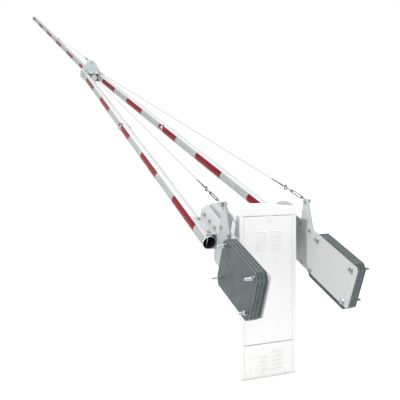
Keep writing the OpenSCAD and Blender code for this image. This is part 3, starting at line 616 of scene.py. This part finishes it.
    def fork(self, m, g, t, w, d, reach):
        """Fork and pin: two rounded cheeks, a yoke and a headed pin with its split ring."""
        for s in (-1, 1):
            y0, y1 = (g, g + t) if s > 0 else (-g - t, -g)
            outline = [(w * math.cos(math.radians(a)), w * math.sin(math.radians(a))) for a in range(180, 361, 15)]
            outline += [(w, reach + 1), (-w, reach + 1)]
            c = 0.6
            rings = []
            for y, f in ((y0, 1 - c / w), (y0 + c, 1), (y1 - c, 1), (y1, 1 - c / w)):
                rings.append([(x * f, y, z * (f if z < 0 else 1)) for x, z in outline])
            self.loft(m, rings)
        q = g + t
        rings = []
        for z, f in ((reach, 0.97), (reach + 1, 1.0), (reach + 6, 1.0), (reach + 8, 0.82)):
            rings.append([(x * w * f, y * q * f, z) for x, y in ((-1, -0.7), (-0.7, -1), (0.7, -1), (1, -0.7), (1, 0.7), (0.7, 1), (-0.7, 1), (-1, 0.7))])
        self.loft(m, rings)
        pm = m @ R(90, "X")
        self.rod(pm, d, -q - 2.9, q + 2.9, 0.7)
        self.washer(pm, q + 0.1, q + 1.6, d * 1.4, d)

    def done(self, name, finish, node=None, body="boom", sharp=32):
        bmesh.ops.remove_doubles(self.bm, verts=self.bm.verts[:], dist=1.5e-6)
        bmesh.ops.recalc_face_normals(self.bm, faces=self.bm.faces[:])
        me = bpy.data.meshes.new(name)
        self.bm.to_mesh(me)
        self.bm.free()
        me.polygons.foreach_set("use_smooth", [True] * len(me.polygons))
        me.set_sharp_from_angle(angle=math.radians(sharp))
        me.materials.append(MATS[finish])
        o = bpy.data.objects.new(name, me)
        scene.collection.objects.link(o)
        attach(o, body)
        if node:
            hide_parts(node)
        return o


# hub and mast bolts
w = Part()
for side in (ONE, FLIP):
    for a in (180, 75, -20):
        hub = (262 - 296 + (a + 85) * math.sin(math.radians(CONV))) / math.cos(math.radians(CONV))
        m = side @ FRONT @ T(0, a + 85, 78) @ Y90
        w.washer(m, 8, 10.5, 26, 14)
        w.hexa(m @ R(7 * a % 50, "Z"), 20, 10.5, 19.5, low=False)
        w.rod(m, 14, hub - 15, 9)
        w.hexa(m, 20, hub - 11.5, hub - 1, 13, high=True)
    for n, (a, u) in enumerate(((-132, 137), (-242, 137), (-234, -112))):
        m = side @ ARM @ T(296, a, u) @ Y90
        w.hexa(m @ R(17 * n, "Z"), 20, -9, 0, high=False)
        w.rod(m, 14, 0, 23.5)
        w.washer(m, 20, 22.5, 26, 14)
        w.hexa(m @ R(23 * n, "Z"), 20, 22.5, 32.5, 12)
        w.thread(m, 13.4, 22, 32.2, 2.0)
w.done("arm_bolt_set", "bolt_zinc", "arm_bolts")

# channel bolts
w = Part()
for side in (ONE, FLIP):
    for y in (-45, 160):
        m = side @ TUBE @ T(0, y, 0)
        w.washer(m, 56, 58.5, 28, 14)
        w.hexa(m @ R(y * 0.3 % 40, "Z"), 20, 58.5, 67.5, low=False)
        w.thread(m @ R(180, "X"), 14, 40, 68, 2.0)
        w.rod(m, 13.9, -42, 57)
        w.hexa(m, 20, -64, -54, 13)
w.done("channel_bolt_set", "bolt_zinc", "channel_bolts")

# threaded studs of the weights
w = Part()
for side in (ONE, FLIP):
    for n, (a, u) in enumerate(((-344, -108), (-344, 120), (-729, -108), (-729, 120))):
        m = side @ ARM @ T(0, a, u) @ Y90
        w.hexa(m @ R(19 * n, "Z"), 27, 280, 293, low=True, high=False)
        w.washer(m, 293, 296, 34, 18)
        w.rod(m, 17.6, 290, 384)
        w.thread(m, 18, 376, 432, 2.5, 20)
        w.washer(m, 376, 379, 34, 18)
        w.hexa(m @ R(11 + 27 * n, "Z"), 27, 379, 393, 17)
        for g in (304, 328, 352):
            w.washer(m, g, g + 2.5, 34, 17, 0.3)
w.done("weight_stud_set", "bolt_zinc", "weight_studs")

# dished washers and bolts of the splices
w = Part()
for base, r, off in ((TUBE @ T(0, 2470, 0), 27, 46.5), (FLIP @ TUBE @ T(0, 2470, 0), 27, 46.5), (BOOM @ T(0, 7530, 0), 24, 40.5)):
    for s in (0, 1):
        m = base @ (FLIP if s else ONE) @ T(off, 0, 0) @ Y90
        tube = off - 0.5
        n, rings = 48, []
        for rr, h in ((r - 0.3, None), (r - 0.6, 0.6), (r - 4, 4), (r - 12, 8), (8, 9)):
            ring = []
            for j in range(n):
                a = 2 * math.pi * j / n
                x, y = rr * math.cos(a), rr * math.sin(a)
                z = (math.sqrt(tube * tube - x * x) - off + 0.15) if h is None else max(h, math.sqrt(tube * tube - x * x) - off + 0.4)
                ring.append((x, y, z))
            rings.append(ring)
        w.loft(m, rings)
        w.hexa(m @ R(15 + 30 * s, "Z"), 22, 9, 19, low=False)
    w.rod(base @ Y90, 16, -off, off)
w.done("splice_bolt_set", "bolt_zinc", "splice_bolts")

# bolts of the joint and the king eye bolt
w = Part()
for n, (x, y) in enumerate(((-tube_x(4898), 4898), (tube_x(4898), 4898), (0, 4810))):
    m = BOOM @ T(x, y, 0)
    w.washer(m, 54.2, 56.7, 28, 14)
    w.hexa(m @ R(13 * n, "Z"), 22, 56.7, 68.7, low=False)
    w.rod(m, 13.9, -40, 56)
    w.thread(m @ R(180, "X"), 14, 38, 66, 2.0)
    w.hexa(m, 22, -64.2, -54.2, 13)
m = BOOM @ T(0, 5006, 160) @ R(90, "X")
w.washer(m, 0, 3, 32, 16)
w.hexa(m, 24, 3, 15, low=False)
w.rod(m, 16, -36, 2)
w.hexa(m @ R(20, "Z"), 24, -22, -10, 15)
w.ring(m @ T(0, 0, -48) @ Y90, 7.3, 19, 14)
w.done("joint_bolt_set", "bolt_zinc", "joint_bolts")

# moulded plug that closes the near end of the tip tube
w = Part()
m = BOOM @ T(0, 4771, 0) @ R(-90, "X")
w.lathe(m, [(0.2, 0), (0.2, 9), (1.6, 10), (1.6, 26), (0, 27.5), (0, 36.5), (1.0, 37.9), (22, 37.6), (22, 34), (5, 33), (5, 0)], 64)
for i in range(8):
    w.loft(m @ R(45 * i, "Z"), [[(x, y, z) for x, y in ((11, -0.9), (25, -0.9), (25, 0.9), (11, 0.9))] for z in (0.5, 2.4)])
w.done("tip_tube_plug", "plate_white")

# turnbuckles and stays
EYE, STAY = (328, -114.6, 289.9), (tube_x(4898) - 12, 4838, 68)
KING, TIP = (0, 5054, 160), (0, 7530, 58)


def rrect(cx, hx, hy, z, r=1.4):
    out = []
    for qx, qy, a0 in ((1, 1, 0), (-1, 1, 90), (-1, -1, 180), (1, -1, 270)):
        for k in (0, 45, 90):
            a = math.radians(a0 + k)
            out.append((cx + qx * (hx - r) + r * math.cos(a), qy * (hy - r) + r * math.sin(a), z))
    return out


def turnbuckle(w, m, k, z0):
    w.thread(m, 10 * k, z0, 66 * k + 12, 1.5, 16, end=False)
    w.thread(m @ T(0, 0, 196 * k), 10 * k, 0, 70 * k, 1.5, 16, end=False)
    for z in (66, 202):
        w.lathe(m, [(z * k, 5.2 * k), (z * k, 7.4 * k), ((z + 2) * k, 9 * k), ((z + 14) * k, 9 * k), ((z + 16) * k, 7.4 * k), ((z + 16) * k, 5.2 * k), (z * k, 5.2 * k)], 32)
    for s in (-1, 1):
        prof = ((70, 6.4, 2.4, 3.6), (78, 7.6, 2.5, 4.6), (88, 8.9, 2.5, 5.0), (141, 9.0, 2.3, 4.9), (194, 8.9, 2.5, 5.0), (206, 7.6, 2.5, 4.6), (214, 6.4, 2.4, 3.6))
        rings = [rrect(s * cx * k, hx * k, hy * k, z * k) for z, cx, hx, hy in prof]
        w.loft(m, rings)
    w.ring(m @ T(0, 0, 284 * k) @ R(90, "X"), 12 * k, 20 * k, 8 * k)


def stay(w, dark, m, back, length, k):
    w.ring(m @ T(0, 0, 303 * k) @ R(90, "Z") @ R(90, "X"), 12 * k, 17 * k, 6 * k)
    z = 322 * k
    prof = [(z, 0), (z, 5.4 * k), (z + 2, 7 * k)]
    for g in (14, 28, 42):
        prof += [(z + (g - 2) * k, 7 * k), (z + g * k, 6.3 * k), (z + (g + 2) * k, 7 * k)]
    prof += [(z + 52 * k, 7 * k), (z + 56 * k, 4.2 * k), (z + 56 * k, 0)]
    dark.lathe(m, prof, 28)
    dark.lathe(m, [(z + 54 * k, 3.2), (z + 54 * k, 4.4 * k), (z + 150 * k, 4.2 * k), (z + 156 * k, 3.5), (z + 156 * k, 3.2), (z + 54 * k, 3.2)], 24)
    w.rope(m, 6, 318 * k, length - 80 * k)
    w.fork(back, 5.4 * k, 4 * k, 9 * k, 10 * k, 24 * k)
    z = 24 * k + 7
    w.lathe(back, [(z, 0), (z, 6.5 * k), (z + 2, 7.5 * k), (z + 40 * k, 7.5 * k), (z + 62 * k, 4.4 * k), (z + 62 * k, 0)], 28)


w = Part()
for side in (ONE, FLIP):
    turnbuckle(w, side @ BOOM @ along(EYE, STAY), 1, 13.5)
    w.ring(side @ BOOM @ T(*EYE) @ Y90, 7.2, 15, 11)
turnbuckle(w, BOOM @ along(KING, TIP), 0.9, 27)
w.fork(BOOM @ along(KING, TIP), 7.4, 5, 10, 14, 20)
w.done("turnbuckle_set", "turnbuckle_steel", "turnbuckles")
for name, side, a, b, k in (("stay_cable_left", FLIP, EYE, STAY, 1), ("stay_cable_right", ONE, EYE, STAY, 1), ("tip_stay_cable", ONE, KING, TIP, 0.9)):
    w, dark = Part(), Part()
    length = (Vector(b) - Vector(a)).length
    stay(w, dark, side @ BOOM @ along(a, b), side @ BOOM @ along(b, a), length, k)
    w.done(name + "_wire", "cable_steel", name)
    dark.done(name + "_ferrule", "turnbuckle_steel")

# ------------------------------------------------------------------ bores of the tubes, painted near-black as painted shade


# the near-black colour inside the tubes is painted shade for the dark bore; the long lines are die lines
def bore_shade_mat():
    m = Mat("tube_bore_painted_shade")
    lines = m.noise(1.0, 4, 0.6, vec=m.mapping((300, 1.5, 300), vec=along_boom(m)))
    c = m.mix(m.ramp(lines, 0.35, 0.7), (0.012, 0.013, 0.013), (0.035, 0.037, 0.038))
    return m.set(color=c, rough=m.ramp(lines, 0.3, 0.7, 0.5, 0.75), normal=m.bump(lines, 0.15, 0.0006))


BORE_SHADE = bore_shade_mat()
for node, frame_m, r in (("side_tube_right", TUBE, 44), ("side_tube_left", FLIP @ TUBE, 44)):
    o = nodes[node]
    o.data.materials.append(BORE_SHADE)
    inv = frame_m.inverted()
    for poly in o.data.polygons:
        pts = [inv @ ((o.matrix_world @ o.data.vertices[i].co) * 1000) for i in poly.vertices]
        if all(math.hypot(q.x, q.z) < r + 0.25 for q in pts):
            poly.material_index = 1

for node, width in (
    ("weights_left", 1.6), ("weights_right", 1.6), ("arm_plate_left", 0.9), ("arm_plate_right", 0.9),
    ("mast_left", 0.9), ("mast_right", 0.9), ("tube_channel_left", 0.9), ("tube_channel_right", 0.9),
    ("joint_face_plate", 1.0), ("joint_clamp_plates", 0.9), ("lid", 0.8), ("base_plate", 0.8), ("hub_left", 0.8), ("hub_right", 0.8),
):
    soften(node, width)

# ------------------------------------------------------------------ floor
me = bpy.data.meshes.new("floor")
me.from_pydata([(-60, -60, 0), (60, -60, 0), (60, 60, 0), (-60, 60, 0)], [], [(0, 1, 2, 3)])
floor = bpy.data.objects.new("floor", me)
floor.location = (0, 0, -0.0008)
scene.collection.objects.link(floor)
fm = Mat("floor_pale")
fc = fm.mix(fm.ramp(fm.noise(1.2, 3), 0.3, 0.7, 0, 1), (1.0, 1.0, 1.0), (0.985, 0.985, 0.985))
me.materials.append(fm.set(color=fc, rough=0.9, normal=fm.bump(fm.noise(300, 2), 0.02, 0.001)))
lit = bpy.data.collections.new("lit_by_key")
for o in scene.objects:
    if o.type == "MESH" and o is not floor:
        lit.objects.link(o)
key.light_linking.receiver_collection = lit
# the same light on the floor, without the object's long shadow across the backdrop
floor_sun = bpy.data.lights.new("floor_key", "SUN")
floor_sun.energy = 1.2
floor_sun.use_shadow = False
floor_key = bpy.data.objects.new("floor_key", floor_sun)
scene.collection.objects.link(floor_key)
only_floor = bpy.data.collections.new("lit_floor")
only_floor.objects.link(floor)
floor_key.light_linking.receiver_collection = only_floor
# a weak fill on the casing from the camera's side
fill = softbox("fill", (-1.4, -6.0, 2.2), (0, 0, 0.6), 2.6, 5)
casing = bpy.data.collections.new("lit_casing")
for name, o in nodes.items():
    if slot_of[name] in ("casing_white", "label_grey"):
        casing.objects.link(o)
fill.light_linking.receiver_collection = casing
